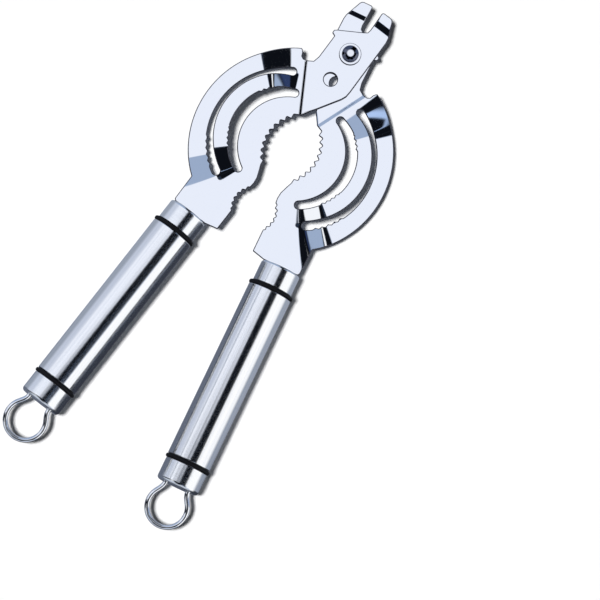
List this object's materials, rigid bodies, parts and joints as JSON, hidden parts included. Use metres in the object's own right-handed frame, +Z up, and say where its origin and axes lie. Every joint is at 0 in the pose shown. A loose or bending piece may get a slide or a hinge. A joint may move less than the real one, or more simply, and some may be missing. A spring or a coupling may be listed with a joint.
{
  "type": "jar and bottle opener",
  "caption": "Plier-style jar and bottle opener: crossed serrated steel jaw plates on a rivet, with steel tube handles and hanging loops.",
  "frame": {"origin": "centre of the whole tool, on the surface that its handle rings rest on", "axes": "+Y from the hanging loops to the claws, +X to the right handle seen from above, +Z up through the rivet's domed head"},
  "size_m": [0.11, 0.2937, 0.0248],
  "materials": {
    "polished_steel": "mirror polished",
    "satin_steel": "brushed lengthwise",
    "black_rubber": "matte",
    "black_plastic": "matte"
  },
  "bodies": {
    "left_arm": {"left_jaw_plate": "polished_steel", "left_front_cap": "satin_steel", "left_front_ring": "black_rubber", "left_front_plug": "black_plastic", "left_handle_tube": "satin_steel", "left_rear_ring": "black_rubber", "left_rear_plug": "black_plastic", "left_rear_cap": "satin_steel", "left_hanging_loop": "polished_steel", "pivot_rivet": "polished_steel", "rivet_washer_top": "polished_steel", "rivet_washer_bottom": "polished_steel"},
    "right_arm": {"right_jaw_plate": "polished_steel", "right_front_cap": "satin_steel", "right_front_ring": "black_rubber", "right_front_plug": "black_plastic", "right_handle_tube": "satin_steel", "right_rear_ring": "black_rubber", "right_rear_plug": "black_plastic", "right_rear_cap": "satin_steel", "right_hanging_loop": "polished_steel"}
  },
  "joints": [
    {"name": "jaw_pivot", "type": "hinge", "parent": "left_arm", "child": "right_arm", "pos_m": [0, 0.11833, 0.0124], "axis": [0, 0, 1], "range_deg": [-9.3, 60]}
  ]
}
